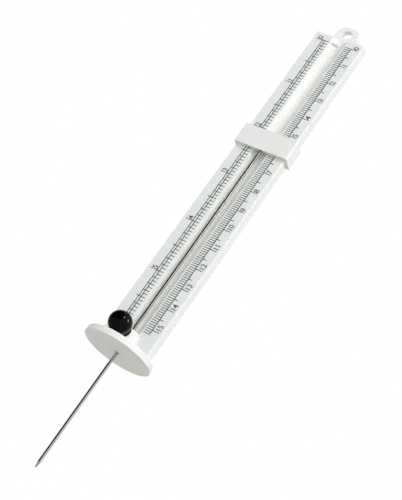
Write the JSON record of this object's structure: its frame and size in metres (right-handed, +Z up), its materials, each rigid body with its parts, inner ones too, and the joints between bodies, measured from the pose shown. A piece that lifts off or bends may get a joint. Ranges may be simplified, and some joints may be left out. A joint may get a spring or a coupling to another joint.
{
  "type": "needle depth gauge",
  "caption": "Hand depth gauge: a flat scale body with a trough, a saddle slider carrying a thin needle through a round foot, a ball-headed lock screw and a hanging ear.",
  "frame": {"origin": "where the needle's axis meets the underside of the round foot, which is the face laid on the surface being probed", "axes": "+Z up the scale body towards the hanging ear, -Y out of the printed face, +X from the inch scale to the metric scale"},
  "size_m": [0.029, 0.0303, 0.228],
  "materials": {
    "white_plastic": "moulded satin gloss",
    "strip_film": "satin printed film",
    "steel": "drawn and polished",
    "brass": "turned",
    "black_plastic": "polished"
  },
  "bodies": {
    "frame": {"channel_body": "white_plastic", "foot_disc": "white_plastic", "inch_scale_strip": "strip_film", "mm_scale_strip": "strip_film", "thread_insert": "brass"},
    "slider": {"slider_clip": "white_plastic", "needle": "steel", "needle_collar": "brass"},
    "pad": {"pressure_pad": "brass"},
    "knob": {"knob_ball": "black_plastic", "knob_stud": "steel"}
  },
  "joints": [
    {"name": "slider_slide", "type": "slide", "parent": "frame", "child": "slider", "axis": [0, 0, 1], "range_m": [-0.0927, 0.0539]},
    {"name": "pad_feed", "type": "slide", "parent": "frame", "child": "pad", "axis": [0, -1, 0], "range_m": [0, 0.0009]},
    {"name": "knob_turn", "type": "hinge", "parent": "pad", "child": "knob", "pos_m": [0, -0.01125, 0.00735], "axis": [0, -1, 0], "range_deg": [0, 720]}
  ],
  "couplings": [
    {"joint": "knob_turn", "follows": "pad_feed", "rad_per_m": 13963}
  ]
}
